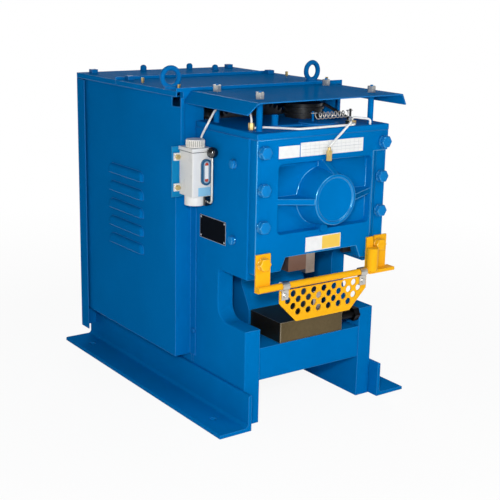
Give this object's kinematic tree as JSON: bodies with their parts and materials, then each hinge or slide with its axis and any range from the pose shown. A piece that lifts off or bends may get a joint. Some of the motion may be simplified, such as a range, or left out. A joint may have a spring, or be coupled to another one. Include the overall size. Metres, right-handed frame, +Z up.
{
  "type": "rebar cutting machine",
  "caption": "Floor-standing rebar shear: C-frame head with a crank-driven ram, perforated swing guard, rain hood, hand oil pump and louvred drive housing on angle rails",
  "frame": {"origin": "on the floor, in the middle of the four anchor holes in the base rails", "axes": "X across the machine to its right, -Y to the front where bars go in, Z up"},
  "size_m": [0.642, 0.951, 0.932],
  "materials": {
    "blue_enamel": "gloss",
    "sky_enamel": "gloss",
    "yellow_enamel": "gloss",
    "zinc": "satin",
    "gold_zinc": "satin",
    "die_steel": "oiled",
    "tool_steel": "ground",
    "ram_steel": "ground",
    "black_steel": "oiled",
    "machined_steel": "machined",
    "bronze": "machined",
    "iron": "machined",
    "dark_iron": "satin",
    "belt_rubber": "matte",
    "motor_enamel": "satin",
    "black_plate": "satin",
    "white_plate": "satin",
    "pump_enamel": "satin",
    "white_plastic": "satin",
    "black_plastic": "gloss",
    "gauge_plastic": "gloss",
    "brass": "satin",
    "tube_plastic": "satin",
    "spring_steel": "satin"
  },
  "bodies": {
    "frame": {"base_rails": "blue_enamel", "bed_beam": "blue_enamel", "bulkhead": "blue_enamel", "cable_gland": "black_plastic", "cover_screws": "blue_enamel", "crank_bushes": "bronze", "die_block": "die_steel", "die_clamp_screw": "black_steel", "drive_belts": "belt_rubber", "drive_frame": "blue_enamel", "eye_bolts": "blue_enamel", "frame_bolts": "blue_enamel", "front_cover": "blue_enamel", "guard_bolts": "yellow_enamel", "guard_frame": "yellow_enamel", "head_top_plate": "blue_enamel", "hood": "blue_enamel", "hood_nuts": "zinc", "label_plates": "white_plate", "lid_studs": "blue_enamel", "lower_blade": "tool_steel", "motor_body": "motor_enamel", "name_plate": "black_plate", "oil_fittings": "brass", "oil_hose_pump": "tube_plastic", "oil_hoses_head": "tube_plastic", "pinion_bearings": "iron", "pump_body": "pump_enamel", "pump_bolts": "gold_zinc", "pump_bracket": "sky_enamel", "pump_pivot": "black_plastic", "ram_guides": "iron", "rear_bearing_wall": "blue_enamel", "rear_lid": "blue_enamel", "rear_plate": "blue_enamel", "roof_screws": "brass", "side_cover_left": "blue_enamel", "side_cover_right": "blue_enamel", "side_plate_left": "blue_enamel", "side_plate_right": "blue_enamel", "sight_gauge": "gauge_plastic", "spring_anchor": "dark_iron", "throat_wall": "blue_enamel", "top_cover": "blue_enamel", "trip_drum": "dark_iron", "trip_spring": "spring_steel"},
    "crank": {"crankshaft": "machined_steel", "eccentric_sleeve": "bronze"},
    "ram": {"ram": "ram_steel", "upper_blade": "tool_steel"},
    "gear": {"main_gear": "machined_steel"},
    "flywheel": {"pinion_shaft": "machined_steel", "flywheel": "iron"},
    "rotor": {"motor_rotor": "machined_steel"},
    "guard": {"guard_plate": "yellow_enamel", "guard_clips": "zinc"},
    "pump_handle": {"pump_lever": "zinc", "pump_knob": "black_plastic"},
    "cap": {"pump_cap": "white_plastic"},
    "trip": {"trip_lever": "blue_enamel"}
  },
  "joints": [
    {"name": "crank_turn", "type": "hinge", "parent": "frame", "child": "crank", "pos_m": [0, 0, 0.61], "axis": [0, 1, 0], "range_deg": [0, 180]},
    {"name": "ram_slide", "type": "slide", "parent": "frame", "child": "ram", "axis": [0, 0, 1], "range_m": [-0.06, 0]},
    {"name": "flywheel_spin", "type": "hinge", "parent": "frame", "child": "flywheel", "pos_m": [0, 0, 0.365], "axis": [0, 1, 0], "continuous": true},
    {"name": "gear_spin", "type": "hinge", "parent": "frame", "child": "gear", "pos_m": [0, 0, 0.61], "axis": [0, 1, 0], "continuous": true},
    {"name": "rotor_spin", "type": "hinge", "parent": "frame", "child": "rotor", "pos_m": [0, 0, 0.684], "axis": [0, 1, 0], "continuous": true},
    {"name": "guard_swing", "type": "hinge", "parent": "frame", "child": "guard", "pos_m": [0, -0.463, 0.389], "axis": [-1, 0, 0], "range_deg": [-20, 100]},
    {"name": "pump_lever_swing", "type": "hinge", "parent": "frame", "child": "pump_handle", "pos_m": [-0.236, -0.273, 0.5844], "axis": [0, -1, 0], "range_deg": [0, 85], "stiffness_Nm_per_rad": 0.4, "springref_deg": -17.19},
    {"name": "cap_turn", "type": "hinge", "parent": "frame", "child": "cap", "pos_m": [-0.255, -0.2205, 0.728], "axis": [0, 0, 1], "range_deg": [0, 540]},
    {"name": "trip_turn", "type": "hinge", "parent": "frame", "child": "trip", "pos_m": [0.024, -0.378, 0.794], "axis": [0, 0, 1], "range_deg": [0, 10], "stiffness_Nm_per_rad": 20, "springref_deg": -5.73, "deforming": ["trip_spring"]}
  ],
  "couplings": [
    {"joint": "ram_slide", "follows": "crank_turn", "m_per_rad": -0.019099},
    {"joint": "gear_spin", "follows": "flywheel_spin", "ratio": -0.16667},
    {"joint": "rotor_spin", "follows": "flywheel_spin", "ratio": 4}
  ]
}
